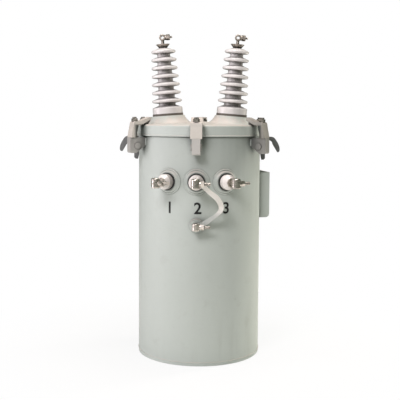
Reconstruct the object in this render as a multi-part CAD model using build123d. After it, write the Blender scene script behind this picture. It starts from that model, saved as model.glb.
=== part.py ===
"""Pole mounted transformer: tank, cover, bushings, cover clamps, lifting lugs and pole hangers.

Millimetres. The origin is the middle of the base, Z is up and the low voltage side faces -Y.
Angles are in degrees. Azimuths are counted from the front, positive towards +X.
Each node becomes one STEP file.
"""

import os
from collections import namedtuple
from math import cos, radians, sqrt, tan

from build123d import *

# Tank
tank_radius = 200.0
tank_height = 745.0
sheet = 3.0
curb_width = 14.0
bottom_recess = 14.0
bottom_thickness = 5.0
base_edge_round = 1.0
fill_clearance = 20.0

# Cover
cover_gasket_thickness = 6.0
skirt_gap = 3.0
skirt_depth = 37.0
hem_height = 5.0
hem_bulge = 1.2
hem_flat_share = 0.5
shoulder_width = 23.0
crown_rise = 10.0
rim_round = 7.0

# Bosses of the cover that carry the high voltage bushings
boss_inset = 78.0
boss_rise = 27.0
boss_drop = 32.0
boss_top_radius = 54.0
boss_foot_radius = 95.0
boss_waist_run_share = 0.25
boss_waist_drop_share = 0.55
bushing_lean_angle = 4.4

# High voltage bushings, heights along their own axis from the boss top
hv_gasket_radius = 50.5
hv_gasket_thickness = 7.0
hv_collar_radius = 49.5
hv_collar_height = 20.0
hv_collar_round = 3.0
hv_collar_slope = 8.0
hv_bore_radius = 27.0
hv_core_radius_low = 28.0
hv_core_radius_high = 21.0
hv_spigot_depth = 22.0
hv_crown_height = 12.5
shed_count = 7
first_shed_height = 49.0
shed_pitch = 27.0
shed_radius_low = 49.0
shed_radius_high = 40.0
shed_rim = 10.0
shed_rise = 6.0
shed_fall = 3.0

# High voltage terminals
hv_cap_radius = 23.0
hv_cap_foot_radius = 13.0
hv_cap_height = 12.0
hv_cap_floor = 4.0
hv_cap_wall = 3.0
hv_stud_radius = 5.0
hv_eye_height = 34.0
hv_eye_radius = 10.5
hv_eye_width = 17.5
hv_eye_round = 2.0
hv_hole_radius = 5.0
hv_screw_radius = 3.2
hv_nut_flats = 17.0
hv_nut_length = 12.0
hv_screw_end = 7.5

# Low voltage bushings
lv_drop = 85.0
lv_spread_angle = 26.0
lv_boss_projection = 8.0
lv_boss_radius = 30.0
lv_boss_foot_radius = 38.0
lv_bore_radius = 17.0
lv_gasket_radius = 26.5
lv_gasket_thickness = 5.0
lv_porcelain_radius = 23.5
lv_porcelain_length = 17.0
lv_edge_round = 3.0
lv_nose_radius = 13.5
lv_nose_length = 13.0
lv_spigot_depth = 24.0

# Low voltage terminals
lv_flange_radius = 14.5
lv_flange_thickness = 7.0
lv_stud_radius = 8.0
lv_eye_height = 34.0
lv_eye_radius = 13.5
lv_eye_width = 31.0
lv_eye_round = 4.0
lv_hole_radius = 7.0
lv_screw_radius = 4.5
lv_nut_flats = 17.0
lv_nut_length = 11.0
lv_screw_end = 19.0
screw_boss_proud = 2.0
screw_clearance = 0.4
nut_chamfer_share = 0.8

# Earthing
ground_drop = 135.0
ground_pad_radius = 19.0
ground_pad_projection = 10.0
ground_eye_height = 26.0
ground_eye_radius = 12.0
ground_eye_width = 24.0
strap_width = 16.0
strap_thickness = 2.5
strap_lug_radius = 12.0
strap_bulge = 77.0
strap_stand_off = 9.0

# Route of the strap: shares of its fall, of its bulge and of its stand off, and its twist angle
strap_route_shares = (
    (0.0, 0.0, 0.0),
    (0.06, 0.28, 0.35),
    (0.17, 0.5, 1.0),
    (0.29, 0.76, 1.3),
    (0.43, 0.95, 1.4),
    (0.57, 1.0, 1.3),
    (0.68, 0.9, 1.1),
    (0.79, 0.68, 0.8),
    (0.9, 0.42, 0.35),
    (0.96, 0.24, 0.05),
    (1.0, 0.0, 0.0),
)
strap_twist_angles = (0, 3, 35, 25, 10, 0, 15, 40, 50, 45, 30, 0, 0)

# Cover clamps
clamp_count = 6
clamp_width = 36.0
clamp_plate = 4.0
clamp_foot_reach = 51.0
clamp_foot_drop = 5.0
clamp_leg_depth = 15.0
clamp_bend_reach = 41.0
clamp_bend_round = 6.0
clamp_rise = 9.0
clamp_knee_reach = 17.0
clamp_knee_depth = 12.0
clamp_tip_inset = 15.0
clamp_tip_rise = 23.0
clamp_tip_depth = 9.0
clamp_toe_width = 14.0
clamp_toe_length = 9.0
clamp_toe_clearance = 2.0
lug_width = 26.0
lug_plate = 5.0
lug_reach = 53.0
lug_depth = 49.0
lug_heel_reach = 32.0
lug_heel_rise = 23.0
lug_corner_round = 6.0
pivot_reach = 29.0
pivot_drop = 26.0
pin_radius = 4.5
pin_head_radius = 10.0
pin_head_thickness = 4.0
bolt_radius = 6.5
bolt_clearance = 0.6
bolt_end = 5.0
bolt_lean_angle = 3.0
bolt_eye_radius = 10.0
bolt_eye_width = 14.0
nut_flats = 18.0
nut_thickness = 9.0

# Lifting lugs
lift_plate = 12.0
lift_clearance = 3.0
lift_prong = 17.0
lift_prong_length = 76.0
lift_prong_round = 5.0
lift_notch_width = 24.0
lift_notch_depth = 12.0
lift_horn = 24.0
lift_horn_length = 51.0
lift_neck_share = 0.2
lift_horn_shares = ((0.5, 0.21), (0.88, 0.54), (1.0, 0.8), (0.68, 1.0))

# Nameplate bracket
plate_azimuth_angle = 105.0
plate_width = 110.0
plate_height = 150.0
plate_drop = 67.0
plate_reach = 27.0
plate_corner_round = 13.0
plate_sheet = 3.0

# Pole hangers
hanger_spacing = 285.75
hanger_drop = 169.25
hanger_width = 90.0
hanger_height = 96.0
hanger_reach = 84.0
hanger_plate = 8.0
hanger_bend_round = 6.0
hanger_foot_fall = 34.0
hanger_slot_width = 21.0
hanger_slot_length = 46.0

# Places that follow from the sizes above
skirt_radius = tank_radius + skirt_gap + sheet
shoulder_height = tank_height + cover_gasket_thickness + sheet
shoulder_flat_radius = skirt_radius - rim_round
shoulder_inner_radius = skirt_radius - shoulder_width
skirt_bottom = shoulder_height - skirt_depth
boss_offset = shoulder_inner_radius - boss_inset
boss_top_height = shoulder_height + boss_rise
last_shed_height = first_shed_height + (shed_count - 1) * shed_pitch
hv_top = last_shed_height + hv_crown_height
clamp_foot_height = skirt_bottom - clamp_foot_drop
clamp_top_height = shoulder_height + clamp_rise
clamp_foot_radius = tank_radius + clamp_foot_reach
clamp_bend_radius = tank_radius + clamp_bend_reach
clamp_knee_radius = tank_radius + clamp_knee_reach
clamp_tip_radius = tank_radius - clamp_tip_inset
clamp_tip_height = shoulder_height + clamp_tip_rise
lug_radius = tank_radius + lug_reach
lug_bottom = clamp_foot_height - lug_depth
pivot_radius = tank_radius + pivot_reach
pivot_height = clamp_foot_height - pivot_drop
bolt_reach = (clamp_top_height - pivot_height) / cos(radians(bolt_lean_angle))
bolt_place = Pos(0, -pivot_radius, pivot_height) * Rot(bolt_lean_angle, 0, 0)
lv_height = lug_bottom - lv_drop
lv_seat = tank_radius + lv_boss_projection
lv_tip = lv_gasket_thickness + lv_porcelain_length + lv_nose_length
lv_azimuths = (-lv_spread_angle, 0, lv_spread_angle)
ground_height = lv_height - ground_drop
ground_seat = tank_radius + ground_pad_projection
plate_radius = tank_radius + plate_reach
plate_top = lug_bottom - plate_drop
plate_bottom = plate_top - plate_height
hanger_radius = tank_radius + hanger_reach
hanger_high_height = tank_height - hanger_drop
hanger_low_height = hanger_high_height - hanger_spacing

radial_plane = Plane((0, 0, 0), x_dir=(0, -1, 0), z_dir=(-1, 0, 0))
tank_solid = Cylinder(tank_radius, tank_height, align=(Align.CENTER, Align.CENTER, Align.MIN))

TerminalSizes = namedtuple(
    "TerminalSizes",
    "stud_radius eye_height eye_radius eye_width eye_round hole_radius screw_radius nut_flats nut_length screw_end",
)
hv_sizes = TerminalSizes(
    hv_stud_radius,
    hv_eye_height,
    hv_eye_radius,
    hv_eye_width,
    hv_eye_round,
    hv_hole_radius,
    hv_screw_radius,
    hv_nut_flats,
    hv_nut_length,
    hv_screw_end,
)
lv_sizes = TerminalSizes(
    lv_stud_radius,
    lv_eye_height,
    lv_eye_radius,
    lv_eye_width,
    lv_eye_round,
    lv_hole_radius,
    lv_screw_radius,
    lv_nut_flats,
    lv_nut_length,
    lv_screw_end,
)
ground_sizes = lv_sizes._replace(
    eye_height=ground_eye_height, eye_radius=ground_eye_radius, eye_width=ground_eye_width
)


def polygon(*points):
    """Face bounded by straight lines through the points."""
    return make_face(Polyline(*points, close=True))


def round_corner(face, corner, radius):
    """Rounds the corner of a face that lies at the given point."""
    return fillet(face.vertices().sort_by_distance(corner)[0], radius)


def radial_plate(face, width):
    """Plate of the given width from a face in radius and height, centred on the front."""
    return extrude(radial_plane * face, width / 2, both=True)


def at_azimuth(shape, azimuth):
    return Rot(0, 0, azimuth) * shape


def outward(azimuth, radius, height):
    """Location on a radius at a height, with its Z pointing away from the tank axis."""
    return Rot(0, 0, azimuth) * Pos(0, -radius, height) * Rot(90, 0, 0)


def bushing_axis(side):
    """Location of the middle of a boss top, leaning outward."""
    return Pos(side * boss_offset, 0, boss_top_height) * Rot(0, side * bushing_lean_angle, 0)


def rod(radius, length, base=0):
    return Pos(0, 0, base + length / 2) * Cylinder(radius, length)


def ring(outer_radius, inner_radius, height, base=0):
    return rod(outer_radius, height, base) - rod(inner_radius, height, base)


def turned(face):
    """Solid of revolution about Z from a face in radius and height."""
    return revolve(Plane.XZ * face, Axis.Z)


def nut(across_flats, thickness, base=0):
    """Hexagon nut on Z with its corners turned down at both ends."""
    corner_radius = across_flats / sqrt(3)
    turned_down = nut_chamfer_share * (corner_radius - across_flats / 2)
    blank = Cylinder(corner_radius, thickness)
    blank = chamfer(blank.edges().filter_by(GeomType.CIRCLE), turned_down)
    hexagon = extrude(RegularPolygon(across_flats / 2, 6, major_radius=False), thickness / 2, both=True)
    return Pos(0, 0, base + thickness / 2) * (blank & hexagon)


def channel(outline, outer_radius, width, plate):
    """U of sheet whose web stands at the outer radius and whose legs run back to the tank wall."""
    inner_radius = outer_radius - plate
    inside = polygon((0, 0), (inner_radius, 0), (inner_radius, tank_height), (0, tank_height))
    return radial_plate(outline, width) - radial_plate(inside, width - 2 * plate)


def tank_shell():
    inner = tank_radius - sheet
    outline = polygon(
        (tank_radius, 0),
        (tank_radius, tank_height),
        (tank_radius - curb_width, tank_height),
        (tank_radius - curb_width, tank_height - sheet),
        (inner, tank_height - sheet),
        (inner, 0),
    )
    shell = turned(round_corner(outline, (tank_radius, 0), base_edge_round))
    core = rod(inner, tank_height)
    drop = lv_seat - sqrt(inner**2 - lv_boss_foot_radius**2)
    spread = drop * (lv_boss_foot_radius - lv_boss_radius) / lv_boss_projection
    boss = Cone(
        lv_boss_radius + spread, lv_boss_radius, drop, align=(Align.CENTER, Align.CENTER, Align.MAX)
    )
    for azimuth in lv_azimuths:
        place = outward(azimuth, lv_seat, lv_height)
        shell += place * boss - core
        shell -= place * Pos(0, 0, -sheet) * boss
        shell -= place * rod(lv_bore_radius, 2 * drop, -drop)
    return shell


def tank_bottom():
    return rod(tank_radius - sheet, bottom_thickness, bottom_recess)


def tank_fill():
    base = bottom_recess + bottom_thickness
    top = lv_height - lv_boss_radius - fill_clearance
    return rod(tank_radius - sheet, top - base, base)


def boss_form(inset):
    """Pressed boss about its own axis with its top at the origin, drawn in by the inset."""
    run = boss_foot_radius - boss_top_radius
    slope = sqrt(run**2 + boss_drop**2)
    top = (boss_top_radius - inset, -inset)
    foot = (boss_foot_radius, -boss_drop - inset)
    waist = (
        boss_top_radius + run * boss_waist_run_share - inset * boss_drop / slope,
        -boss_drop * boss_waist_drop_share - inset * run / slope,
    )
    flank = ThreePointArc(top, waist, foot)
    core = Polyline(foot, (0, -boss_drop - inset), (0, -inset), top)
    return Rot(0, 0, 90) * turned(make_face([flank, core]))


def cover_dish(inset):
    """Solid form of the pressed cover without its bosses, drawn in by the inset."""
    skirt = skirt_radius - inset
    shoulder = shoulder_height - inset
    outline = polygon(
        (0, skirt_bottom),
        (skirt, skirt_bottom),
        (skirt, shoulder),
        (shoulder_inner_radius, shoulder),
        (0, shoulder + crown_rise),
    )
    return turned(round_corner(outline, (skirt, shoulder), rim_round - inset))


def cover():
    bulge = skirt_radius + hem_bulge
    flat = hem_height * hem_flat_share
    hem = polygon(
        (skirt_radius, skirt_bottom),
        (bulge, skirt_bottom + (hem_height - flat) / 2),
        (bulge, skirt_bottom + (hem_height + flat) / 2),
        (skirt_radius, skirt_bottom + hem_height),
        (skirt_radius - sheet / 2, skirt_bottom + hem_height / 2),
    )
    axes = [bushing_axis(side) for side in (-1, 1)]
    lid = cover_dish(0) + turned(hem)
    for axis in axes:
        lid += axis * boss_form(0)
    lid -= cover_dish(sheet)
    for axis in axes:
        lid -= axis * boss_form(sheet)
        lid -= axis * rod(hv_bore_radius, 2 * boss_drop, -boss_drop)
    return lid


def cover_gasket():
    return ring(shoulder_flat_radius, tank_radius - curb_width, cover_gasket_thickness, tank_height)


def hv_gasket():
    return ring(hv_gasket_radius, hv_bore_radius, hv_gasket_thickness)


def hv_shed(index):
    """One shed with a round rim; the last one runs up to the top of the porcelain."""
    share = index / (shed_count - 1)
    height = first_shed_height + index * shed_pitch
    edge = shed_radius_low + share * (shed_radius_high - shed_radius_low)
    waist = hv_core_radius_low + share * (hv_core_radius_high - hv_core_radius_low) - shed_rise / 2
    half_rim = shed_rim / 2
    if height < last_shed_height:
        crown = (waist, height + half_rim + shed_rise)
    else:
        crown = (hv_cap_foot_radius, hv_top)
    slopes = Polyline(
        (edge - half_rim, height + half_rim),
        crown,
        (waist, height - half_rim - shed_fall),
        (edge - half_rim, height - half_rim),
    )
    rim = ThreePointArc(slopes @ 1, (edge, height), slopes @ 0)
    return turned(make_face([slopes, rim]))


def hv_porcelain():
    foot = hv_gasket_thickness
    collar = foot + hv_collar_height
    outline = polygon(
        (0, foot),
        (hv_collar_radius, foot),
        (hv_collar_radius, collar),
        (hv_core_radius_low, collar + hv_collar_slope),
        (hv_core_radius_high, last_shed_height),
        (hv_cap_foot_radius, hv_top),
        (0, hv_top),
    )
    body = turned(round_corner(outline, (hv_collar_radius, collar), hv_collar_round))
    body += rod(hv_bore_radius, hv_spigot_depth + foot, -hv_spigot_depth)
    for index in range(shed_count):
        body += hv_shed(index)
    return body


def hv_cap():
    dish = polygon(
        (hv_stud_radius, 0),
        (hv_cap_foot_radius, 0),
        (hv_cap_radius, hv_cap_height),
        (hv_cap_radius - hv_cap_wall, hv_cap_height),
        (hv_cap_foot_radius, hv_cap_floor),
        (hv_stud_radius, hv_cap_floor),
    )
    return Pos(0, 0, hv_top) * turned(dish)


def eye_terminal(sizes):
    """Stud with a cross eye at its top and a screw boss on the +X side of the eye."""
    eye = Cylinder(sizes.eye_radius, sizes.eye_width)
    eye = fillet(eye.edges().filter_by(GeomType.CIRCLE), sizes.eye_round)
    hole = Cylinder(sizes.hole_radius, 2 * sizes.eye_width)
    seat = sizes.eye_radius + screw_boss_proud
    body = rod(sizes.stud_radius, sizes.eye_height)
    body += Pos(0, 0, sizes.eye_height) * Rot(90, 0, 0) * eye
    body += Pos(0, 0, sizes.eye_height) * Rot(0, 90, 0) * rod(sizes.nut_flats / 2, seat)
    body -= Pos(0, 0, sizes.eye_height) * Rot(90, 0, 0) * hole
    return body - Pos(0, 0, sizes.eye_height) * Rot(0, 90, 0) * rod(sizes.screw_radius, 2 * seat)


def clamp_screw(sizes):
    """Screw that enters the eye from +X, with a nut on the eye's boss."""
    entry = sizes.hole_radius + screw_clearance
    seat = sizes.eye_radius + screw_boss_proud
    reach = seat + sizes.nut_length + sizes.screw_end
    screw = rod(sizes.screw_radius, reach - entry, entry) + nut(sizes.nut_flats, sizes.nut_length, seat)
    return Pos(0, 0, sizes.eye_height) * Rot(0, 90, 0) * screw


def lv_gasket():
    return ring(lv_gasket_radius, lv_bore_radius, lv_gasket_thickness)


def lv_porcelain():
    foot = lv_gasket_thickness
    shoulder = foot + lv_porcelain_length
    outline = polygon(
        (0, -lv_spigot_depth),
        (lv_bore_radius, -lv_spigot_depth),
        (lv_bore_radius, foot),
        (lv_porcelain_radius, foot),
        (lv_porcelain_radius, shoulder),
        (lv_nose_radius, lv_tip),
        (0, lv_tip),
    )
    return turned(round_corner(outline, (lv_porcelain_radius, shoulder), lv_edge_round))


def lv_terminal():
    """Terminal with its eye upright, so that the wire drops straight down."""
    return eye_terminal(lv_sizes) + rod(lv_flange_radius, lv_flange_thickness)


def ground_pad():
    sunk = 2 * ground_pad_projection
    return outward(0, ground_seat, ground_height) * rod(ground_pad_radius, sunk, -sunk) - tank_solid


def ground_terminal():
    return eye_terminal(ground_sizes) + clamp_screw(ground_sizes)


def ground_strap():
    """Flat braid that twists on its way, with a round lug on each stud."""
    upper = lv_seat + lv_tip + lv_flange_thickness
    middle = strap_thickness / 2
    points = []
    for fall, side, stand_off in strap_route_shares:
        radius = upper + fall * (ground_seat - upper) + stand_off * strap_stand_off + middle
        points.append((side * strap_bulge, -radius, lv_height - fall * ground_drop))
    leaving = Vector(*points[1]) - Vector(*points[0])
    arriving = Vector(*points[-1]) - Vector(*points[-2])
    route = Spline(*points, tangents=[(leaving.X, 0, leaving.Z), (arriving.X, 0, arriving.Z)])
    sections = []
    for index, twist in enumerate(strap_twist_angles):
        share = index / (len(strap_twist_angles) - 1)
        along = route % share
        across = along.cross(Vector(0, -1, 0))
        plane = Plane(route @ share, x_dir=across, z_dir=along)
        sections.append(plane * Rot(0, 0, twist) * Rectangle(strap_width, strap_thickness))
    band = loft(sections)
    ends = ((upper, lv_height, lv_flange_radius), (ground_seat, ground_height, ground_pad_radius))
    for radius, height, seat_radius in ends:
        place = outward(0, radius, height)
        band += place * rod(strap_lug_radius, strap_thickness)
        band -= place * rod(lv_stud_radius, 2 * strap_width, -strap_width)
        band -= place * rod(seat_radius, strap_width, -strap_width)
    return band


def arm_flat(radius):
    """Height of the arm's seat for the nut, which is square to the leaning bolt."""
    lean = tan(radians(bolt_lean_angle))
    bolt_radius_here = pivot_radius + (clamp_top_height - pivot_height) * lean
    return clamp_top_height - (radius - bolt_radius_here) * lean


def arm_top(radius):
    """Height of the arm's top between its knee and its tip."""
    knee_height = arm_flat(clamp_knee_radius)
    rise = (clamp_tip_height - knee_height) / (clamp_knee_radius - clamp_tip_radius)
    return knee_height + rise * (clamp_knee_radius - radius)


def clamp_arm():
    """Bent channel that stands on its lug and presses the cover with a toe under its tip."""
    plate = clamp_plate
    bend = (clamp_bend_radius, arm_flat(clamp_bend_radius))
    knee = (clamp_knee_radius, arm_flat(clamp_knee_radius))
    underside = knee[1] - clamp_knee_depth
    outline = polygon(
        (clamp_foot_radius, clamp_foot_height),
        bend,
        knee,
        (clamp_tip_radius, clamp_tip_height),
        (clamp_tip_radius, clamp_tip_height - clamp_tip_depth),
        (clamp_knee_radius, underside),
        (clamp_bend_radius - clamp_leg_depth, underside),
        (clamp_foot_radius - clamp_leg_depth, clamp_foot_height),
    )
    outline = round_corner(outline, bend, clamp_bend_round)
    pocket = polygon(
        (clamp_foot_radius - plate, clamp_foot_height - plate),
        (bend[0] - plate, bend[1] - plate),
        (knee[0], knee[1] - plate),
        (clamp_tip_radius - plate, arm_top(clamp_tip_radius - plate) - plate),
        (clamp_tip_radius - plate, clamp_foot_height - plate),
    )
    toe_outer = shoulder_flat_radius - clamp_toe_clearance
    toe_inner = toe_outer - clamp_toe_length
    toe = polygon(
        (toe_inner, shoulder_height),
        (toe_outer, shoulder_height),
        (toe_outer, arm_top(toe_outer) - plate / 2),
        (toe_inner, arm_top(toe_inner) - plate / 2),
    )
    arm = radial_plate(outline, clamp_width) - radial_plate(pocket, clamp_width - 2 * plate)
    arm += radial_plate(toe, clamp_toe_width)
    return arm - bolt_place * rod(bolt_radius + bolt_clearance, 2 * bolt_reach)


def clamp_lug():
    outline = polygon(
        (0, clamp_foot_height),
        (lug_radius, clamp_foot_height),
        (lug_radius, lug_bottom),
        (tank_radius + lug_heel_reach, lug_bottom),
        (tank_radius, lug_bottom + lug_heel_rise),
        (0, lug_bottom + lug_heel_rise),
    )
    outline = round_corner(outline, (lug_radius, lug_bottom), lug_corner_round)
    lug = channel(outline, lug_radius, lug_width, lug_plate)
    lug -= Pos(0, -pivot_radius, pivot_height) * Rot(0, 90, 0) * Cylinder(pin_radius, 2 * lug_width)
    return lug - tank_solid


def clamp_pin():
    half = lug_width / 2
    pin = rod(pin_radius, lug_width, -half)
    pin += rod(pin_head_radius, pin_head_thickness, half)
    pin += rod(pin_head_radius, pin_head_thickness, -half - pin_head_thickness)
    return Pos(0, -pivot_radius, pivot_height) * Rot(0, 90, 0) * pin


def clamp_bolt():
    bolt = rod(bolt_radius, bolt_reach + nut_thickness + bolt_end)
    bolt += Rot(0, 90, 0) * Cylinder(bolt_eye_radius, bolt_eye_width)
    bolt += nut(nut_flats, nut_thickness, bolt_reach)
    bolt -= Rot(0, 90, 0) * Cylinder(pin_radius, 2 * bolt_eye_width)
    return bolt_place * bolt


def lifting_lug():
    """Hook plate: a prong on the wall, a notch for a sling and a horn that bends down outside it."""
    top = skirt_bottom - lift_clearance
    prong_bottom = top - lift_prong_length
    horn_bottom = top - lift_horn_length
    notch_inner = tank_radius + lift_prong
    notch_outer = notch_inner + lift_notch_width
    notch_top = top - lift_notch_depth
    notch_spring = notch_top - lift_notch_width / 2
    neck = notch_outer - lift_horn * lift_neck_share
    back = Polyline((tank_radius, horn_bottom), (tank_radius, top), (neck, top))
    curve = [
        (notch_outer + lift_horn * reach, top - lift_horn_length * fall) for reach, fall in lift_horn_shares
    ]
    horn = Spline(back @ 1, *curve, tangents=[(1, 0), (-1, 0)])
    flank = Line(horn @ 1, (notch_outer, notch_spring))
    notch = ThreePointArc(
        flank @ 1, (notch_inner + lift_notch_width / 2, notch_top), (notch_inner, notch_spring)
    )
    prong = Polyline(
        notch @ 1,
        (notch_inner, prong_bottom + lift_prong_round),
        (notch_inner - lift_prong_round, prong_bottom),
        (tank_radius + lift_prong_round, prong_bottom),
        back @ 0,
    )
    return radial_plate(make_face([back, horn, flank, notch, prong]), lift_plate) - tank_solid


def nameplate_bracket():
    """Bent sheet standing off the wall, with the lower corners of its two legs rounded."""
    outline = polygon(
        (0, plate_bottom), (plate_radius, plate_bottom), (plate_radius, plate_top), (0, plate_top)
    )
    outline = round_corner(outline, (plate_radius, plate_bottom), plate_corner_round)
    return channel(outline, plate_radius, plate_width, plate_sheet) - tank_solid


def pole_hanger(height):
    """Bent plate whose legs run down the wall and whose face takes a pole bolt in a slot."""
    top = height + hanger_height / 2
    bottom = height - hanger_height / 2
    outline = polygon(
        (0, bottom - hanger_foot_fall),
        (tank_radius, bottom - hanger_foot_fall),
        (hanger_radius, bottom),
        (hanger_radius, top),
        (0, top),
    )
    body = channel(outline, hanger_radius, hanger_width, hanger_plate)
    slot = extrude(SlotOverall(hanger_slot_length, hanger_slot_width, rotation=90), hanger_plate, both=True)
    body -= outward(0, hanger_radius, height) * slot
    bends = body.edges().filter_by(Axis.Z).group_by(Axis.Y)[0]
    return at_azimuth(fillet(bends, hanger_bend_round) - tank_solid, 180)


nodes = {
    "tank_shell": tank_shell(),
    "tank_bottom": tank_bottom(),
    "tank_fill": tank_fill(),
    "cover": cover(),
    "cover_gasket": cover_gasket(),
    "ground_pad": ground_pad(),
    "ground_terminal": outward(0, ground_seat, ground_height) * ground_terminal(),
    "ground_strap": ground_strap(),
    "nameplate_bracket": at_azimuth(nameplate_bracket(), plate_azimuth_angle),
    "hanger_upper": pole_hanger(hanger_high_height),
    "hanger_lower": pole_hanger(hanger_low_height),
}

hv_tops = {"left": bushing_axis(-1), "right": bushing_axis(1)}
for name, place in hv_tops.items():
    nodes[f"high_voltage_bushing_{name}"] = place * hv_porcelain()
    nodes[f"high_voltage_cap_{name}"] = place * hv_cap()
    nodes[f"high_voltage_terminal_{name}"] = place * Pos(0, 0, hv_top) * eye_terminal(hv_sizes)
nodes["high_voltage_gaskets"] = Compound([place * hv_gasket() for place in hv_tops.values()])
nodes["high_voltage_screws"] = Compound(
    [place * Pos(0, 0, hv_top) * clamp_screw(hv_sizes) for place in hv_tops.values()]
)

lv_places = [outward(azimuth, lv_seat, lv_height) for azimuth in lv_azimuths]
for name, place in zip(("left", "middle", "right"), lv_places):
    nodes[f"low_voltage_bushing_{name}"] = place * lv_porcelain()
    nodes[f"low_voltage_terminal_{name}"] = place * Pos(0, 0, lv_tip) * lv_terminal()
nodes["low_voltage_gaskets"] = Compound([place * lv_gasket() for place in lv_places])
nodes["low_voltage_screws"] = Compound([place * Pos(0, 0, lv_tip) * clamp_screw(lv_sizes) for place in lv_places])

clamp_azimuths = [360 * index / clamp_count for index in range(clamp_count)]
arm = clamp_arm()
lug = clamp_lug()
for index, azimuth in enumerate(clamp_azimuths):
    nodes[f"clamp_arm_{index + 1}"] = at_azimuth(arm, azimuth)
    nodes[f"clamp_lug_{index + 1}"] = at_azimuth(lug, azimuth)
nodes["clamp_bolts"] = Compound([at_azimuth(clamp_bolt(), azimuth) for azimuth in clamp_azimuths])
nodes["clamp_pins"] = Compound([at_azimuth(clamp_pin(), azimuth) for azimuth in clamp_azimuths])

for name, side in (("left", -1), ("right", 1)):
    nodes[f"lifting_lug_{name}"] = at_azimuth(lifting_lug(), side * 90)

os.makedirs("parts", exist_ok=True)
for name, shape in nodes.items():
    export_step(shape, f"parts/{name}.step")
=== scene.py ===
"""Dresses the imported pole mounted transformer.

Adds paint, glaze and metal, numerals, welds, screw threads and a plain studio.
Lengths are in metres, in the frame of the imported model: Z is up, the low voltage
side faces -Y and azimuths run from there towards +X.
"""

from math import cos, pi, radians, sin, sqrt

import bmesh
import bpy
from bpy.props import FloatProperty, FloatVectorProperty, PointerProperty
from bpy.types import Operator, Panel, PropertyGroup
from mathutils import Matrix, Vector


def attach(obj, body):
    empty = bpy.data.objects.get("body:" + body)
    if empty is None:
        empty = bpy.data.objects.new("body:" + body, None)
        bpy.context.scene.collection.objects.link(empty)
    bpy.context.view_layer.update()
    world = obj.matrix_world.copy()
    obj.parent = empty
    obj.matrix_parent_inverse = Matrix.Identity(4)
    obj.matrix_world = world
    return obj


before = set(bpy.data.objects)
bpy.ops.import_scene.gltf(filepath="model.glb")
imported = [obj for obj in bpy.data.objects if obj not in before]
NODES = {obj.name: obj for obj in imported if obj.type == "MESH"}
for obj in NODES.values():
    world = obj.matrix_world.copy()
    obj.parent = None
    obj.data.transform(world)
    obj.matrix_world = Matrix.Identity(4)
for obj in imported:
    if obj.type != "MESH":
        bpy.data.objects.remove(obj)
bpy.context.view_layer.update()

bl_info = {
    "name": "Pole mounted transformer finishes",
    "version": (1, 0, 0),
    "blender": (4, 5, 0),
    "location": "3D View > Sidebar > Transformer",
    "description": "Finishes, numerals, welds, threads and studio for a pole mounted transformer",
    "category": "Object",
}

BODY = "root"
CLAMP_AZIMUTHS = (0, 60, 120, 180, 240, 300)
LOW_VOLTAGE_AZIMUTHS = (-26, 0, 26)

# Straight welds: name, width over the legs, lowest and highest point, azimuths
LEG_WELDS = (
    ("lug_welds", 0.026, 0.687, 0.711, CLAMP_AZIMUTHS),
    ("lifting_welds", 0.012, 0.664, 0.713, (-90, 90)),
    ("hanger_upper_welds", 0.09, 0.49575, 0.62175, (180,)),
    ("hanger_lower_welds", 0.09, 0.21, 0.336, (180,)),
    ("bracket_welds", 0.11, 0.45, 0.592, (105,)),
)

# Welds round a foot: name, radius, height of the middle, azimuths
RING_WELDS = (
    ("boss_welds", 0.0375, 0.578, LOW_VOLTAGE_AZIMUTHS),
    ("pad_welds", 0.019, 0.443, (0,)),
)
WELD_SEGMENTS = 10
WELD_RIPPLES = (0.93, 1.07)

# Screws of the front terminals: azimuth, radius and height of the eye, start and reach of thread
TERMINAL_SCREWS = (
    *((azimuth, 0.277, 0.578, 0.0265, 0.019) for azimuth in LOW_VOLTAGE_AZIMUTHS),
    (0, 0.236, 0.443, 0.025, 0.019),
)
TERMINAL_SCREW_RADIUS = 0.0045

# Screws of the high voltage terminals, whose bushings lean outwards from their foot
BUSHING_LEAN = radians(4.4)
BUSHING_FOOT_ACROSS = 0.105
BUSHING_FOOT_HEIGHT = 0.781
CAP_SCREW_START = (0.0245, 0, 0.2575)
CAP_SCREW_RADIUS = 0.0032
CAP_SCREW_REACH = 0.0075

# Bolts of the cover clamps, which lean outwards from their pivot
BOLT_LEAN = radians(3)
BOLT_PIVOT = (0, -0.229, 0.686)
BOLT_THREAD_START = (0, 0, 0.0861)
BOLT_RADIUS = 0.0065
BOLT_THREAD_REACH = 0.005

THREAD_STEPS = 14
NUMERAL_STRIPS = 8

# Painted shade high on the wall, under the cover and towards one side: strength, then the X where
# it begins and where it is full
WALL_SHADE_BANDS = ((0.17, -0.04, 0.14), (0.09, -0.2, -0.1))
ARM_SHADE_BANDS = ((0.5, 0.1, 0.2),)
LUG_SHADE_BANDS = ((0.55, 0.06, 0.18), (0.3, -0.06, -0.18))
SHADE_BAND_HEIGHTS = (0.53, 0.715)

# Painted shade on faces towards the tank, in the gaps behind the clamps: strength, radii where it
# begins and where it is full, highest point
ARM_INNER_SHADE = (0.95, 0.245, 0.234, 0.757)
LUG_INNER_SHADE = (0.5, 0.24, 0.21, 0.73)
INNER_SHADE_FADE = 0.008

# Painted shade in corners and gaps: reach, then how closed in a place is where it begins and where
# it is full
OPEN_CORNER_SHADE = (0.03, 0.1, 0.75)
WALL_CORNER_SHADE = (0.06, 0.06, 0.6)
COVER_CORNER_SHADE = (0.12, 0.25, 0.6)
ARM_CORNER_SHADE = (0.05, 0.1, 0.75)
LUG_CORNER_SHADE = (0.04, 0.1, 0.75)
# The painted shade in corners fades out towards the base, between these heights
CORNER_SHADE_HEIGHTS = (0.0, 0.12)

# Painted shade over the lower end of the earthing strap, from none at the first height to full at
# the second
STRAP_SHADE_HEIGHTS = (0.505, 0.47)
STRAP_STRAND_SCALE = 110.0
SPANGLE_SCALE = 160.0

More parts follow.
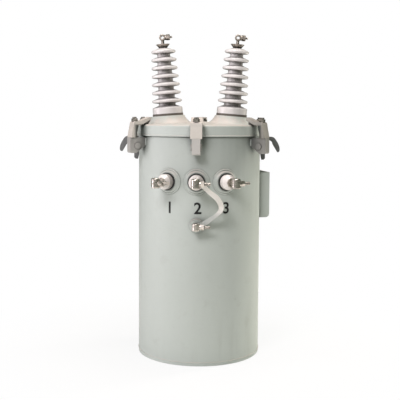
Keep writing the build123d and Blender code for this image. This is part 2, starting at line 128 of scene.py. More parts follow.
# Softboxes: name, place, aim, width and height, watts, tint, whether glossy faces mirror them
SOFTBOXES = (
    ("key_softbox", (-2.5, -0.67, 0.9), (0, 0, 0.5), (1.0, 1.8), 26, (1.0, 0.915, 0.985), True),
    ("front_softbox", (-0.85, -2.5, 2.2), (0, 0, 0.5), (1.0, 0.8), 47, (1.0, 0.935, 0.975), True),
    ("rim_softbox", (1.8, 1.02, 0.8), (0, 0, 0.5), (0.4, 1.6), 33, (1.0, 0.93, 0.86), False),
    ("top_softbox", (0.2, -0.2, 2.9), (0, 0, 0.75), (1.2, 1.2), 40, (1.0, 0.93, 0.89), True),
)
FLOOR_HALF_WIDTH = 14
FLOOR_GLOW_RADII = (0.3, 0.9)
AMBIENT_TINT = (0.8, 1.0, 0.72, 1)
AMBIENT_STRENGTH = 0.1
WHITE = (1, 1, 1, 1)
SENSOR_WIDTH = 36
CAMERA_RANGE = 100


def length(name, description, default):
    return FloatProperty(
        name=name, description=description, default=default, unit="LENGTH", precision=4
    )


def angle(name, description, default):
    return FloatProperty(
        name=name, description=description, default=radians(default), unit="ROTATION"
    )


def colour(name, description, default):
    """Colour property written as 8 bit screen values and kept as linear light."""
    linear = [
        ((value / 255 + 0.055) / 1.055) ** 2.4 if value > 10 else value / 255 / 12.92
        for value in default
    ]
    return FloatVectorProperty(
        name=name, description=description, default=linear, subtype="COLOR", min=0, max=1
    )


class TransformerSizes(PropertyGroup):
    """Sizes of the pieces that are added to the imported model."""

    tank_radius: length("Tank radius", "Outside of the tank wall", 0.2)
    numeral_height: length("Numeral height", "Height of the stencilled numerals", 0.036)
    numeral_middle: length("Numeral middle", "Height of the numerals' middle above the base", 0.497)
    numeral_shift: length("Numeral shift", "How far they stand right of their bushing", 0.004)
    numeral_film: length("Numeral film", "How far the numerals' paint stands off the wall", 0.0004)
    numeral_bold: length("Numeral boldness", "How far the numerals' strokes are thickened", 0.0006)
    weld_width: length("Weld width", "Width of the weld beads", 0.007)
    weld_pitch: length("Weld pitch", "Distance between the ripples of a weld bead", 0.003)
    base_weld_height: length("Base weld height", "Height of the weld round the tank's base", 0.011)
    base_weld_width: length("Base weld width", "Width of the weld round the tank's base", 0.003)
    thread_depth: length("Thread depth", "Height of the screw threads", 0.0007)
    thread_pitch: length("Thread pitch", "Pitch of the screw threads", 0.0018)


class TransformerColours(PropertyGroup):
    """Colours of the finishes."""

    tank: colour("Tank paint", "Paint of the tank and cover", (194, 202, 196))
    clamp: colour("Clamp paint", "Paint of the cover clamps", (206, 201, 192))
    lug: colour("Lug paint", "Paint of the clamp lugs and their pins", (196, 194, 189))
    lifting: colour("Lifting lugs", "Zinc coat of the lifting lugs", (112, 114, 114))
    bare: colour("Bare steel", "Steel that shows on worn edges", (128, 124, 118))
    dirt: colour("Dirt", "Dust and grime on painted faces", (118, 118, 104))
    dust: colour("Dust", "Pale dust on faces that look up", (210, 199, 191))
    # Colour of the painted shade in corners and gaps, high on the wall and towards the tank
    soot: colour("Soot", "Dark grime in corners and gaps", (50, 56, 53))
    # Colour of the painted shade in the folds and on the +X side of the porcelain
    film: colour("Porcelain grime", "Brown grime in the folds of the porcelain", (66, 56, 51))
    bolt: colour("Bolts", "Zinc plated bolts and nuts", (172, 168, 160))
    grey_glaze: colour("Grey glaze", "Glaze of the high voltage bushings", (235, 232, 231))
    white_glaze: colour("White glaze", "Glaze of the low voltage bushings", (247, 241, 237))
    rubber: colour("Rubber", "Black bushing gaskets", (30, 30, 31))
    grey_rubber: colour("Grey rubber", "Gaskets under the high voltage bushings", (98, 92, 86))
    tinned: colour("Tinned bronze", "Low voltage and earth terminals", (226, 219, 210))
    aged: colour("Aged bronze", "Caps and terminals of the high voltage bushings", (172, 164, 155))
    braid: colour("Braid", "Tinned braid of the earthing strap", (253, 250, 242))
    numeral: colour("Numerals", "Stencil paint", (14, 15, 16))
    floor: colour("Floor", "Studio floor", (244, 244, 242))


class TransformerCamera(PropertyGroup):
    """Where the picture is taken from."""

    azimuth: angle("Azimuth", "Turn of the camera from the front towards +X", 2.343)
    distance: length("Distance", "Distance from the tank axis", 2.6155)
    height: length("Height", "Height of the lens above the base", 0.78176)
    sideways: length("Sideways", "Offset of the lens to the right", 0.0021)
    pitch: angle("Pitch", "How far the camera looks down", 3.859)
    roll: angle("Roll", "Turn of the camera about its own line of sight", 0.356)
    focal: FloatProperty(
        name="Focal length", description="Focal length for a 36 mm wide sensor", default=70.935
    )
    shift: FloatProperty(
        name="Vertical shift", description="Lens shift as a share of the picture", default=-0.0777
    )


class Wire:
    """Output of a shader node; Python's operators on it add Math nodes."""

    def __init__(self, finish, socket):
        self.finish = finish
        self.socket = socket

    def math(self, operation, first, second):
        return self.finish.node("ShaderNodeMath", {"operation": operation}, {0: first, 1: second})

    def __add__(self, other):
        return self.math("ADD", self, other)

    def __radd__(self, other):
        return self.math("ADD", other, self)

    def __sub__(self, other):
        return self.math("SUBTRACT", self, other)

    def __rsub__(self, other):
        return self.math("SUBTRACT", other, self)

    def __mul__(self, other):
        return self.math("MULTIPLY", self, other)

    def __rmul__(self, other):
        return self.math("MULTIPLY", other, self)


class Finish:
    """The node tree of a material or a world under construction."""

    def __init__(self, owner):
        owner.use_nodes = True
        self.owner = owner
        self.tree = owner.node_tree
        self.tree.nodes.clear()

    def node(self, kind, settings=None, inputs=None, output=0):
        """Adds a node: its settings first, then the values or links of its inputs."""
        made = self.tree.nodes.new(kind)
        for key, value in (settings or {}).items():
            setattr(made, key, value)
        for key, value in (inputs or {}).items():
            if isinstance(value, Wire):
                self.tree.links.new(value.socket, made.inputs[key])
            else:
                made.inputs[key].default_value = value
        return Wire(self, made.outputs[output]) if made.outputs else None

    def place(self, scale=(1, 1, 1), turn=(0, 0, 0)):
        coordinates = self.node("ShaderNodeTexCoord", output="Object")
        values = {"Vector": coordinates, "Rotation": turn, "Scale": scale}
        return self.node("ShaderNodeMapping", inputs=values)

    def noise(self, size, detail=2.0, stretch=(1, 1, 1), rough=0.5):
        """Cloudy pattern from 0 to 1 whose features are about the given size."""
        values = {
            "Vector": self.place(stretch),
            "Scale": 1 / size,
            "Detail": detail,
            "Roughness": rough,
        }
        return self.node("ShaderNodeTexNoise", inputs=values)

    def band(self, value, low, high):
        """Smooth step from 0 at low to 1 at high."""
        settings = {"interpolation_type": "SMOOTHSTEP"}
        values = {"Value": value, "From Min": low, "From Max": high}
        return self.node("ShaderNodeMapRange", settings, values)

    def mix(self, factor, first, second):
        settings = {"data_type": "RGBA"}
        return self.node("ShaderNodeMix", settings, {0: factor, 6: first, 7: second}, output=2)

    def edges(self, radius):
        """1 on edges and corners, 0 on flat faces."""
        rounded = self.node("ShaderNodeBevel", {"samples": 6}, {"Radius": radius})
        plain = self.node("ShaderNodeNewGeometry", output="Normal")
        settings = {"operation": "DOT_PRODUCT"}
        likeness = self.node("ShaderNodeVectorMath", settings, {0: rounded, 1: plain}, output=1)
        return self.band(1 - likeness, 0.02, 0.3)

    def facing(self, axis):
        """1 on faces that look along the axis, -1 on those that look the other way."""
        normal = self.node("ShaderNodeNewGeometry", output="Normal")
        return self.node("ShaderNodeSeparateXYZ", inputs={"Vector": normal}, output=axis)

    def spot(self, axis):
        """Coordinate along the axis, in metres."""
        return self.node("ShaderNodeSeparateXYZ", inputs={"Vector": self.place()}, output=axis)

    def away(self, stretch=(1, 1, 1)):
        """Distance from the origin, in metres; a stretch of 0 leaves an axis out."""
        settings = {"operation": "LENGTH"}
        values = {0: self.place(stretch)}
        return self.node("ShaderNodeVectorMath", settings, values, output="Value")

    def crevices(self, reach, low, high):
        """1 deep in corners and gaps, 0 in the open."""
        values = {"Distance": reach}
        clear = self.node("ShaderNodeAmbientOcclusion", {"samples": 8}, values, output="AO")
        return self.band(1 - clear, low, high)

    def bump(self, height, distance, strength):
        values = {"Height": height, "Distance": distance, "Strength": strength}
        return self.node("ShaderNodeBump", inputs=values)

    def done(self, **inputs):
        """Closes the material with a Principled shader; underscores stand for spaces."""
        named = {key.replace("_", " "): value for key, value in inputs.items()}
        shader = self.node("ShaderNodeBsdfPrincipled", inputs=named)
        self.node("ShaderNodeOutputMaterial", inputs={"Surface": shader})
        return self.owner


def new_finish(name):
    return Finish(bpy.data.materials.new(name))


def rgba(value, share=1.0):
    return (*(channel * share for channel in value), 1.0)


def paint(name, tone, shades, gloss=0.44, wear=0.0, corners=OPEN_CORNER_SHADE, shade_bands=(), inner_shade=None):
    """Sprayed enamel with orange peel, dirt, dust and painted shade in corners.

    Worn edges, painted shade high up towards one side and painted shade towards the tank come where
    they are asked for.
    """
    finish = new_finish(name)
    soot = rgba(shades.soot)
    height = finish.spot("Z")
    cloud = finish.noise(0.22, detail=3)
    streak = finish.noise(0.03, detail=4, stretch=(1, 1, 0.06))
    speck = finish.band(finish.noise(0.006), 0.66, 0.74)
    blotch = finish.noise(0.045, detail=4, rough=0.6)
    runs = finish.band(streak * cloud, 0.27, 0.5)
    grime = runs * 0.1 + finish.band(blotch, 0.52, 0.8) * 0.12 + speck * 0.08
    coat = finish.mix(0.5 * cloud + 0.5 * blotch, rgba(tone, 0.93), rgba(tone, 1.07))
    coat = finish.mix(grime, coat, rgba(shades.dirt))
    lying = finish.band(finish.facing("Z"), 0.15, 0.6) * finish.band(cloud + streak, 0.6, 1.2)
    coat = finish.mix(lying * 0.8, coat, rgba(shades.dust))
    # Painted shade high up, under the cover, towards one side
    for strength, clean, grimy in shade_bands:
        shade_band = finish.band(height, *SHADE_BAND_HEIGHTS) * finish.band(finish.spot("X"), clean, grimy)
        coat = finish.mix(shade_band * (0.6 + 0.8 * streak) * strength, coat, soot)
    # Painted shade on faces towards the tank, behind the clamps
    if inner_shade:
        strength, clean, grimy, top = inner_shade
        inner = finish.band(finish.away((1, 1, 0)), clean, grimy)
        below = finish.band(height, top, top - INNER_SHADE_FADE)
        coat = finish.mix(inner * below * strength, coat, soot)
    # Painted shade in corners and gaps, fading out towards the base
    corner_shade = finish.crevices(*corners) * finish.band(height, *CORNER_SHADE_HEIGHTS)
    coat = finish.mix(corner_shade * 0.8, coat, soot)
    rough = gloss + 0.12 * cloud + 0.2 * grime
    metallic = 0.0
    if wear:
        chips = finish.noise(0.004, detail=3)
        bare = finish.edges(0.0016) * finish.band(chips, 0.62 - wear, 0.72 - wear)
        coat = finish.mix(bare, coat, rgba(shades.bare))
        rough = rough + 0.1 * bare
        metallic = 0.7 * bare
    peel = finish.bump(finish.noise(0.0022), 0.00012, 0.5)
    return finish.done(Base_Color=coat, Roughness=rough, Metallic=metallic, Normal=peel, IOR=1.5)


def glaze(name, tone, shades, film):
    """Fired glaze with waves, pin holes and dust, and painted shade in the folds and on the +X
    side.
    """
    finish = new_finish(name)
    brown = rgba(shades.film)
    sideways = finish.facing("X")
    cloud = finish.noise(0.05, detail=3)
    speck = finish.band(finish.noise(0.0022, detail=1), 0.7, 0.76)
    dust = finish.band(finish.noise(0.02, detail=4, stretch=(1, 1, 0.4)), 0.5, 0.8)
    coat = finish.mix(cloud, rgba(tone, 0.95), rgba(tone, 1.04))
    coat = finish.mix(dust * 0.14 + speck * 0.35, coat, rgba(shades.dirt))
    # Painted shade in the folds, heavier on faces that look towards +X
    shaded_side = finish.band(sideways, -0.9, 0.1)
    coat = finish.mix(finish.crevices(0.03, 0.2, 0.75) * (0.22 + 0.7 * shaded_side), coat, brown)
    # Painted shade on faces that look towards +X
    coat = finish.mix(finish.band(sideways, -0.1, 0.8) * film, coat, brown)
    ripple = finish.noise(0.012, detail=1) + 0.05 * finish.noise(0.002, detail=1)
    return finish.done(
        Base_Color=coat,
        Roughness=0.26 + 0.25 * dust,
        Normal=finish.bump(ripple, 0.0006, 0.35),
        Coat_Weight=0.25,
        Coat_Roughness=0.12,
    )


def metal(name, tone, shades, rough=0.22, grain=0.0016, tarnish=0.5):
    """Plated or cast metal with fine scratches, tarnish in patches and painted shade in corners."""
    finish = new_finish(name)
    scratch = finish.noise(grain, stretch=(1, 1, 7))
    stain = finish.band(finish.noise(0.008, detail=4), 0.45, 0.65) * tarnish
    coat = finish.mix(stain, rgba(tone), rgba(shades.dirt, 0.5))
    # Painted shade in corners and gaps
    coat = finish.mix(finish.crevices(0.014, 0.1, 0.7) * 0.9, coat, rgba(shades.soot, 0.5))
    dents = finish.bump(scratch + 0.6 * finish.noise(0.004), 0.0002, 0.5)
    polish = rough + 0.2 * stain + 0.12 * scratch
    return finish.done(Base_Color=coat, Roughness=polish, Metallic=1.0, Normal=dents)


def galvanised(name, tone, shades):
    """Dull hot dip zinc with spangle, a painted highlight on its edges and painted shade in
    corners.
    """
    finish = new_finish(name)
    values = {"Vector": finish.place(), "Scale": SPANGLE_SCALE}
    spots = finish.node("ShaderNodeTexVoronoi", inputs=values, output="Color")
    spangle = finish.node("ShaderNodeSeparateColor", inputs={"Color": spots})
    cloud = finish.noise(0.02, detail=3)
    coat = finish.mix(spangle * 0.5 + cloud * 0.5, rgba(tone, 0.82), rgba(tone, 1.12))
    # Painted highlight along the edges
    coat = finish.mix(finish.edges(0.0014) * 0.4, coat, rgba(tone, 1.6))
    # Painted shade in corners and gaps
    coat = finish.mix(finish.crevices(0.02, 0.1, 0.75) * 0.6, coat, rgba(shades.soot))
    dents = finish.bump(cloud + 0.3 * finish.noise(0.002), 0.0004, 0.4)
    rough = 0.48 + 0.16 * spangle
    return finish.done(Base_Color=coat, Roughness=rough, Metallic=0.35, Normal=dents)


def rubber(name, tone, shades):
    """Moulded rubber with a bloom of dust."""
    finish = new_finish(name)
    bloom = finish.band(finish.noise(0.008, detail=4), 0.42, 0.75)
    coat = finish.mix(bloom * 0.22, rgba(tone), rgba(shades.dirt))
    grain = finish.bump(finish.noise(0.0008), 0.0001, 0.6)
    return finish.done(Base_Color=coat, Roughness=0.62 + 0.2 * bloom, Normal=grain)


def stencil(name, tone, shades):
    """Stencil paint, a little thin in places."""
    finish = new_finish(name)
    thin = finish.band(finish.noise(0.003, detail=4), 0.56, 0.72)
    coat = finish.mix(thin * 0.25, rgba(tone), rgba(shades.tank, 0.6))
    return finish.done(Base_Color=coat, Roughness=0.5 + 0.15 * thin)


def woven(name, tone, shades):
    """Flat tinned braid of two crossing sets of strands, with painted shade over its lower end."""
    finish = new_finish(name)
    strands = []
    for turn in (radians(45), radians(-45)):
        values = {
            "Vector": finish.place(turn=(0, turn, 0)),
            "Scale": STRAP_STRAND_SCALE,
            "Distortion": 0.6,
        }
        strands.append(finish.node("ShaderNodeTexWave", inputs=values))
    weave = strands[0] * strands[1]
    gap = 1 - finish.band(weave, 0.0, 0.35)
    coat = finish.mix(gap * 0.3, rgba(tone), rgba(shades.dirt, 0.5))
    # Painted shade over the lower end of the strap
    dull = finish.band(finish.spot("Z"), *STRAP_SHADE_HEIGHTS)
    coat = finish.mix(dull * 0.8, coat, rgba(shades.tank, 0.68))
    relief = finish.bump(weave, 0.0008, 0.8)
    rough = 0.36 + 0.2 * gap
    return finish.done(Base_Color=coat, Roughness=rough, Metallic=0.2, Normal=relief)


def dress(material, *names):
    """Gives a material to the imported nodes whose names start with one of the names."""
    chosen = [node for node in NODES if node.startswith(names)]
    if not chosen:
        raise RuntimeError(f"no packed node starts with {names}")
    for node in chosen:
        shape = NODES[node]
        shape.data.materials.clear()
        shape.data.materials.append(material)


def add_piece(name, shape, material, smooth=True):
    """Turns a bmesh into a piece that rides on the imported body."""
    mesh = bpy.data.meshes.new(name)
    bmesh.ops.remove_doubles(shape, verts=shape.verts, dist=1e-6)
    bmesh.ops.recalc_face_normals(shape, faces=shape.faces)
    for face in shape.faces:
        face.smooth = smooth
    shape.to_mesh(mesh)
    shape.free()
    mesh.materials.append(material)
    piece = bpy.data.objects.new(name, mesh)
    bpy.context.scene.collection.objects.link(piece)
    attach(piece, BODY)


class TRANSFORMER_OT_paint(Operator):
    """Paint the tank, cover, brackets, clamps and pads"""

    bl_idname = "transformer.paint"
    bl_label = "Painted steel"

    def execute(self, context):
        shades = context.scene.transformer_colours
        wall = paint("tank_paint", shades.tank, shades, corners=WALL_CORNER_SHADE, shade_bands=WALL_SHADE_BANDS)
        dress(wall, "tank_shell")
        lid = paint("cover_paint", shades.tank, shades, corners=COVER_CORNER_SHADE)
        dress(lid, "cover", "tank_bottom", "ground_pad")
        brackets = paint("bracket_paint", shades.tank, shades, gloss=0.4, wear=0.1)
        dress(brackets, "nameplate_bracket", "hanger")
        arms = paint(
            "clamp_paint", shades.clamp, shades, 0.42, 0.16, ARM_CORNER_SHADE, ARM_SHADE_BANDS, ARM_INNER_SHADE
        )
        dress(arms, "clamp_arm")
        lugs = paint(
            "lug_paint", shades.lug, shades, 0.42, 0.12, LUG_CORNER_SHADE, LUG_SHADE_BANDS, LUG_INNER_SHADE
        )
        dress(lugs, "clamp_lug", "clamp_pins")
        dress(galvanised("lifting_zinc", shades.lifting, shades), "lifting_lug")
        dress(rubber("core_in_oil", shades.rubber, shades), "tank_fill")
        return {"FINISHED"}


class TRANSFORMER_OT_porcelain(Operator):
    """Glaze the bushings and give their gaskets rubber"""

    bl_idname = "transformer.porcelain"
    bl_label = "Bushings and gaskets"

    def execute(self, context):
        shades = context.scene.transformer_colours
        grey = glaze("grey_porcelain", shades.grey_glaze, shades, film=0.12)
        dress(grey, "high_voltage_bushing")
        white = glaze("white_porcelain", shades.white_glaze, shades, film=0.6)
        dress(white, "low_voltage_bushing")
        black_rubber = rubber("gasket_rubber", shades.rubber, shades)
        dress(black_rubber, "low_voltage_gasket", "cover_gasket")
        dress(rubber("grey_gasket_rubber", shades.grey_rubber, shades), "high_voltage_gasket")
        return {"FINISHED"}


class TRANSFORMER_OT_metalwork(Operator):
    """Give terminals, screws, bolts and the earthing strap their metal"""

    bl_idname = "transformer.metalwork"
    bl_label = "Terminals, bolts and strap"

    def execute(self, context):
        shades = context.scene.transformer_colours
        bright = metal("tinned_bronze", shades.tinned, shades)
        dress(bright, "low_voltage_terminal", "low_voltage_screw", "ground_terminal")
        aged = metal("aged_bronze", shades.aged, shades, rough=0.34, tarnish=0.6)
        dress(aged, "high_voltage_cap", "high_voltage_terminal", "high_voltage_screw")
        steel = metal("bolt_steel", shades.bolt, shades, rough=0.38, grain=0.001)
        dress(steel, "clamp_bolts")
        dress(woven("strap_braid", shades.braid, shades), "ground_strap")
        return {"FINISHED"}


def flat_numeral(number, sizes):
    """Plain numeral in the XY plane, at its real height and centred on the origin."""
    text = bpy.data.curves.new(f"numeral_{number}_outline", "FONT")
    text.body = str(number)
    text.align_x = "CENTER"
    text.align_y = "CENTER"
    text.offset = sizes.numeral_bold / sizes.numeral_height
    outline = bpy.data.objects.new(text.name, text)
    flat = bpy.data.meshes.new_from_object(outline)
    bpy.data.objects.remove(outline)
    shape = bmesh.new()
    shape.from_mesh(flat)
    bpy.data.meshes.remove(flat)
    rises = [vert.co.y for vert in shape.verts]
    tall = max(rises) - min(rises)
    middle = (max(rises) + min(rises)) / 2
    scale = sizes.numeral_height / tall
    bmesh.ops.translate(shape, verts=shape.verts, vec=(0, -middle, 0))
    bmesh.ops.scale(shape, verts=shape.verts, vec=(scale, scale, scale))
    return shape


def lay_on_wall(shape, azimuth, sizes):
    """Cuts a flat numeral into strips, thickens it and bends it round the tank."""
    for strip in range(1, NUMERAL_STRIPS):
        across = (strip / NUMERAL_STRIPS - 0.5) * sizes.numeral_height
        geometry = shape.verts[:] + shape.edges[:] + shape.faces[:]
        bmesh.ops.bisect_plane(shape, geom=geometry, plane_co=(across, 0, 0), plane_no=(1, 0, 0))
    bmesh.ops.remove_doubles(shape, verts=shape.verts, dist=sizes.numeral_film / 10)
    raised = bmesh.ops.extrude_face_region(shape, geom=shape.faces[:])["geom"]
    tops = [item for item in raised if isinstance(item, bmesh.types.BMVert)]
    bmesh.ops.translate(shape, verts=tops, vec=(0, 0, 2 * sizes.numeral_film))
    for vert in shape.verts:
        radius = sizes.tank_radius - sizes.numeral_film + vert.co.z
        turn = radians(azimuth) + (vert.co.x + sizes.numeral_shift) / sizes.tank_radius
        vert.co = (radius * sin(turn), -radius * cos(turn), sizes.numeral_middle + vert.co.y)


class TRANSFORMER_OT_numerals(Operator):
    """Stencil a plain numeral below each low voltage bushing"""

    bl_idname = "transformer.numerals"
    bl_label = "Numerals"

    def execute(self, context):
        sizes = context.scene.transformer_sizes
        shades = context.scene.transformer_colours
        ink = stencil("stencil_paint", shades.numeral, shades)
        for number, azimuth in enumerate(LOW_VOLTAGE_AZIMUTHS, start=1):
            shape = flat_numeral(number, sizes)
            lay_on_wall(shape, azimuth, sizes)
            add_piece(f"numeral_{number}", shape, ink, smooth=False)
        return {"FINISHED"}


def wall_point(azimuth, across, height, sizes):
    """Point of the tank wall to the side of an azimuth."""
    depth = -sqrt(sizes.tank_radius**2 - across**2)
    return Matrix.Rotation(radians(azimuth), 3, "Z") @ Vector((across, depth, height))


def weld_bead(shape, points, width, closed=False):
    """Adds a rippled bead along the points."""
    loops = []
    for index, point in enumerate(points):
        behind = points[index - 1] if closed or index else point
        last = point is points[-1]
        ahead = points[(index + 1) % len(points)] if closed or not last else point
        turn = (ahead - behind).to_track_quat("Z", "Y").to_matrix().to_4x4()
        made = bmesh.ops.create_circle(
            shape,
            segments=WELD_SEGMENTS,
            radius=width / 2 * WELD_RIPPLES[index % 2],
            matrix=Matrix.Translation(point) @ turn,
        )
        loops.append(list({edge for vert in made["verts"] for edge in vert.link_edges}))
    for first, second in zip(loops, loops[1:]):
        bmesh.ops.bridge_loops(shape, edges=first + second)
    if closed:
        bmesh.ops.bridge_loops(shape, edges=loops[-1] + loops[0])
    else:
        for loop in (loops[0], loops[-1]):
            bmesh.ops.contextual_create(shape, geom=loop)


class TRANSFORMER_OT_welds(Operator):
    """Lay weld beads at the lugs, brackets, bosses and base"""

    bl_idname = "transformer.welds"
    bl_label = "Weld beads"

    def execute(self, context):
        sizes = context.scene.transformer_sizes
        shades = context.scene.transformer_colours
        coat = paint("weld_paint", shades.tank, shades, gloss=0.45, corners=WALL_CORNER_SHADE)
        for name, width, low, high, azimuths in LEG_WELDS:
            shape = bmesh.new()
            steps = round((high - low) / sizes.weld_pitch)
            rises = [low + (high - low) * step / steps for step in range(steps + 1)]
            for azimuth in azimuths:
                for across in (-width / 2, width / 2):
                    points = [wall_point(azimuth, across, rise, sizes) for rise in rises]
                    weld_bead(shape, points, sizes.weld_width)
            add_piece(name, shape, coat)
        for name, radius, height, azimuths in RING_WELDS:
            shape = bmesh.new()
            steps = 2 * round(pi * radius / sizes.weld_pitch)
            turns = [2 * pi * step / steps for step in range(steps)]
            for azimuth in azimuths:
                points = [
                    wall_point(azimuth, radius * cos(turn), height + radius * sin(turn), sizes)
                    for turn in turns
                ]
                weld_bead(shape, points, sizes.weld_width, closed=True)
            add_piece(name, shape, coat)
        shape = bmesh.new()
        steps = 2 * round(pi * sizes.tank_radius / sizes.weld_pitch)
        points = [
            wall_point(360 * step / steps, 0, sizes.base_weld_height, sizes)
            for step in range(steps)
        ]
        weld_bead(shape, points, sizes.base_weld_width, closed=True)
        add_piece("base_weld", shape, coat)
        return {"FINISHED"}


def thread(shape, start, along, radius, reach, sizes):
    """Adds a helical ridge round a shank, from start for the given reach."""
    turns = reach / sizes.thread_pitch - 1
    root = radius - sizes.thread_depth / 4
    crest = radius + sizes.thread_depth
    profile = ((root, 0), (crest, sizes.thread_pitch / 2), (root, sizes.thread_pitch))
    corners = [shape.verts.new((across, 0, height)) for across, height in profile]
    edges = [shape.edges.new((corners[i - 1], corners[i])) for i in range(len(corners))]
    made = bmesh.ops.spin(
        shape,
        geom=corners + edges,
        cent=(0, 0, 0),
        axis=(0, 0, 1),
        dvec=(0, 0, sizes.thread_pitch / THREAD_STEPS),
        angle=2 * pi * turns,
        steps=round(turns * THREAD_STEPS),
    )
    tail = [item for item in made["geom_last"] if isinstance(item, bmesh.types.BMEdge)]
    for end in (edges, tail):
        bmesh.ops.contextual_create(shape, geom=end)
    # Tags mark the threads that are already in place
    grown = {vert for face in shape.faces for vert in face.verts if not vert.tag}
    place = Matrix.Translation(start) @ along.to_track_quat("Z", "Y").to_matrix().to_4x4()
    bmesh.ops.transform(shape, matrix=place, verts=list(grown))
    for vert in grown:
        vert.tag = True


class TRANSFORMER_OT_threads(Operator):
    """Cut threads on the ends of the screws and bolts"""

    bl_idname = "transformer.threads"
    bl_label = "Threads"

    def execute(self, context):
        sizes = context.scene.transformer_sizes
        shades = context.scene.transformer_colours
        across = Vector((1, 0, 0))
        up = Vector((0, 0, 1))
        bright = metal("thread_bronze", shades.tinned, shades, rough=0.34, grain=0.001)
        terminals = bmesh.new()
        for azimuth, radius, height, start, reach in TERMINAL_SCREWS:
            turn = Matrix.Rotation(radians(azimuth), 3, "Z")
            begin = turn @ Vector((start, -radius, height))
            thread(terminals, begin, turn @ across, TERMINAL_SCREW_RADIUS, reach, sizes)
        for side in (-1, 1):
            lean = Matrix.Rotation(side * BUSHING_LEAN, 3, "Y")
            foot = Vector((side * BUSHING_FOOT_ACROSS, 0, BUSHING_FOOT_HEIGHT))
            begin = foot + lean @ Vector(CAP_SCREW_START)
            thread(terminals, begin, lean @ across, CAP_SCREW_RADIUS, CAP_SCREW_REACH, sizes)
        add_piece("terminal_threads", terminals, bright)
        dull = metal("thread_steel", shades.bolt, shades, rough=0.4, grain=0.001)
        bolts = bmesh.new()
        for azimuth in CLAMP_AZIMUTHS:
            round_tank = Matrix.Rotation(radians(azimuth), 3, "Z")
            turn = round_tank @ Matrix.Rotation(BOLT_LEAN, 3, "X")
            begin = round_tank @ Vector(BOLT_PIVOT) + turn @ Vector(BOLT_THREAD_START)
            thread(bolts, begin, turn @ up, BOLT_RADIUS, BOLT_THREAD_REACH, sizes)
        add_piece("bolt_threads", bolts, dull)
        return {"FINISHED"}


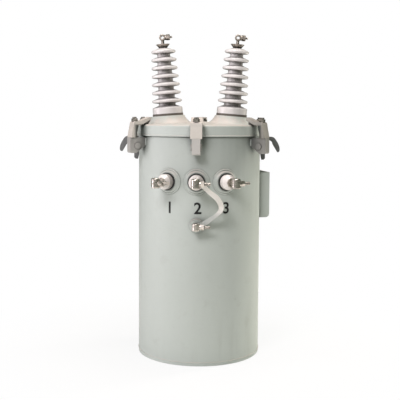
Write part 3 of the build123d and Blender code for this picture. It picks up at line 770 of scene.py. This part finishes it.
class TRANSFORMER_OT_studio(Operator):
    """Set up the floor, the lights, the white surroundings and the camera"""

    bl_idname = "transformer.studio"
    bl_label = "Studio"

    def execute(self, context):
        scene = context.scene
        scene.view_settings.view_transform = "Standard"
        self.add_floor(scene)
        self.add_surroundings(scene)
        for softbox in SOFTBOXES:
            self.add_softbox(scene, *softbox)
        self.add_camera(scene)
        return {"FINISHED"}

    def add_floor(self, scene):
        """White paper that glows for the camera, less so round the tank's foot."""
        shades = scene.transformer_colours
        shape = bmesh.new()
        bmesh.ops.create_grid(shape, x_segments=4, y_segments=4, size=FLOOR_HALF_WIDTH)
        mesh = bpy.data.meshes.new("floor")
        shape.to_mesh(mesh)
        shape.free()
        finish = new_finish("floor_paper")
        tone = finish.mix(finish.noise(0.6), rgba(shades.floor, 0.99), rgba(shades.floor, 1.01))
        paper = finish.node("ShaderNodeBsdfDiffuse", inputs={"Color": tone})
        white = finish.node("ShaderNodeEmission", inputs={"Color": WHITE, "Strength": 1.0})
        seen = finish.node("ShaderNodeLightPath", output="Is Camera Ray")
        share = seen * (0.86 + 0.14 * finish.band(finish.away(), *FLOOR_GLOW_RADII))
        mixed = finish.node("ShaderNodeMixShader", inputs={0: share, 1: paper, 2: white})
        finish.node("ShaderNodeOutputMaterial", inputs={"Surface": mixed})
        mesh.materials.append(finish.owner)
        floor = bpy.data.objects.new("floor", mesh)
        scene.collection.objects.link(floor)

    def add_surroundings(self, scene):
        """White for the camera and a dim, greenish light for everything else."""
        scene.world = bpy.data.worlds.new("white_studio")
        finish = Finish(scene.world)
        seen = finish.node("ShaderNodeLightPath", output="Is Camera Ray")
        ambient = {"Color": AMBIENT_TINT, "Strength": AMBIENT_STRENGTH}
        dim = finish.node("ShaderNodeBackground", inputs=ambient)
        white = finish.node("ShaderNodeBackground", inputs={"Color": WHITE, "Strength": 1.0})
        mixed = finish.node("ShaderNodeMixShader", inputs={0: seen, 1: dim, 2: white})
        finish.node("ShaderNodeOutputWorld", inputs={"Surface": mixed})

    def add_softbox(self, scene, name, place, aim, size, power, tint, mirrored):
        lamp = bpy.data.lights.new(name, "AREA")
        lamp.shape = "RECTANGLE"
        lamp.size, lamp.size_y = size
        lamp.energy = power
        lamp.color = tint
        holder = bpy.data.objects.new(name, lamp)
        holder.location = place
        beam = Vector(aim) - Vector(place)
        holder.rotation_euler = beam.to_track_quat("-Z", "Y").to_euler()
        holder.visible_glossy = mirrored
        scene.collection.objects.link(holder)

    def add_camera(self, scene):
        view = scene.transformer_camera
        lens = bpy.data.cameras.new("camera")
        lens.sensor_fit = "HORIZONTAL"
        lens.sensor_width = SENSOR_WIDTH
        lens.lens = view.focal
        lens.shift_y = view.shift
        lens.clip_end = CAMERA_RANGE
        holder = bpy.data.objects.new("camera", lens)
        turn = Matrix.Rotation(view.azimuth, 4, "Z")
        stand = Matrix.Translation((view.sideways, -view.distance, view.height))
        tilt = Matrix.Rotation(pi / 2 - view.pitch, 4, "X") @ Matrix.Rotation(view.roll, 4, "Z")
        holder.matrix_world = turn @ stand @ tilt
        scene.collection.objects.link(holder)
        scene.camera = holder


class TRANSFORMER_PT_panel(Panel):
    """Lists the steps and the values that they use"""

    bl_idname = "TRANSFORMER_PT_panel"
    bl_label = "Transformer"
    bl_space_type = "VIEW_3D"
    bl_region_type = "UI"
    bl_category = "Transformer"

    def draw(self, context):
        for step in STEPS:
            self.layout.operator(step.bl_idname)
        for owner in GROUPS:
            group = getattr(context.scene, owner)
            box = self.layout.box()
            for name in group.__annotations__:
                box.prop(group, name)


GROUPS = {
    "transformer_sizes": TransformerSizes,
    "transformer_colours": TransformerColours,
    "transformer_camera": TransformerCamera,
}
STEPS = (
    TRANSFORMER_OT_paint,
    TRANSFORMER_OT_porcelain,
    TRANSFORMER_OT_metalwork,
    TRANSFORMER_OT_numerals,
    TRANSFORMER_OT_welds,
    TRANSFORMER_OT_threads,
    TRANSFORMER_OT_studio,
)


def register():
    for name, group in GROUPS.items():
        bpy.utils.register_class(group)
        setattr(bpy.types.Scene, name, PointerProperty(type=group))
    for step in STEPS:
        bpy.utils.register_class(step)
    bpy.utils.register_class(TRANSFORMER_PT_panel)


def unregister():
    bpy.utils.unregister_class(TRANSFORMER_PT_panel)
    for step in reversed(STEPS):
        bpy.utils.unregister_class(step)
    for name, group in GROUPS.items():
        delattr(bpy.types.Scene, name)
        bpy.utils.unregister_class(group)


def main():
    register()
    for step in STEPS:
        group, name = step.bl_idname.split(".")
        getattr(getattr(bpy.ops, group), name)()


if __name__ == "__main__":
    main()
